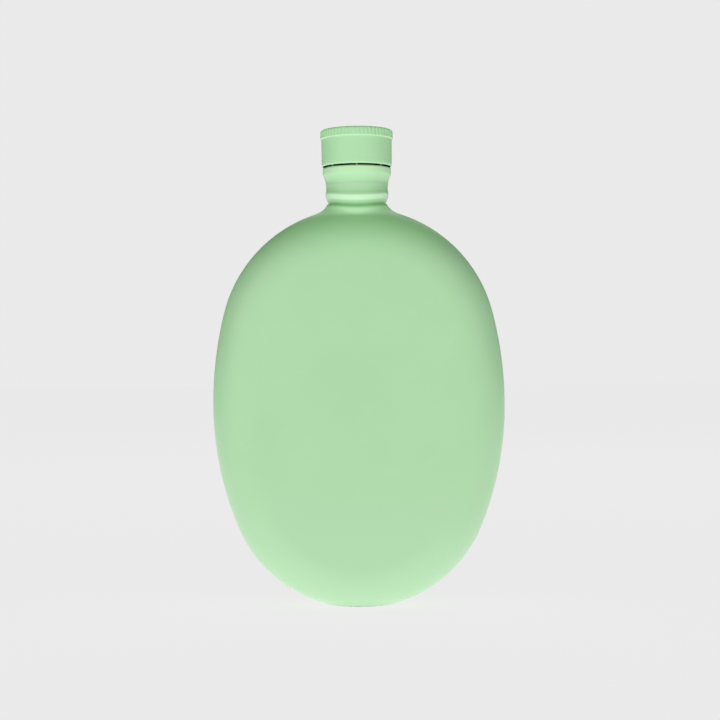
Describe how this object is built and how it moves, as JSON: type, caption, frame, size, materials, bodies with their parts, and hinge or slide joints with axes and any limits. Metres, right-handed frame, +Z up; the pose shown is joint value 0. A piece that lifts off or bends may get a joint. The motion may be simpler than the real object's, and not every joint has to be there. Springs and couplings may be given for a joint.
{
  "type": "flat oval sake bottle with screw cap",
  "caption": "Flat oval glass bottle with full-round rims, a short ringed neck, a knurled metal screw cap with liner and thread insert, and a tamper band left on the neck.",
  "frame": {"origin": "middle of the foot, on the plane that the bottle stands on", "axes": "+Z up the axis of the neck, X across the width of the flat body, Y through its depth with the front face at -Y"},
  "size_m": [0.1308, 0.042, 0.2126],
  "materials": {
    "lacquered_glass": "satin",
    "painted_aluminium": "satin",
    "insert_plastic": "matte",
    "liner_foam": "matte"
  },
  "bodies": {
    "bottle": {"glass_bottle": "lacquered_glass"},
    "liner": {"sealing_liner": "liner_foam"},
    "cap": {"cap_shell": "painted_aluminium", "thread_insert": "insert_plastic"},
    "band": {"tamper_band": "painted_aluminium"}
  },
  "joints": [
    {"name": "cap_lift", "type": "slide", "parent": "bottle", "child": "liner", "axis": [0, 0, 1], "range_m": [0, 0.0161]},
    {"name": "cap_turn", "type": "hinge", "parent": "liner", "child": "cap", "pos_m": [0, 0, 0.2], "axis": [0, 0, 1], "range_deg": [0, 1800]},
    {"name": "tamper_band_turn", "type": "hinge", "parent": "bottle", "child": "band", "pos_m": [0, 0, 0.192], "axis": [0, 0, 1], "continuous": true}
  ],
  "couplings": [
    {"joint": "cap_lift", "follows": "cap_turn", "m_per_rad": 0.0005093}
  ]
}
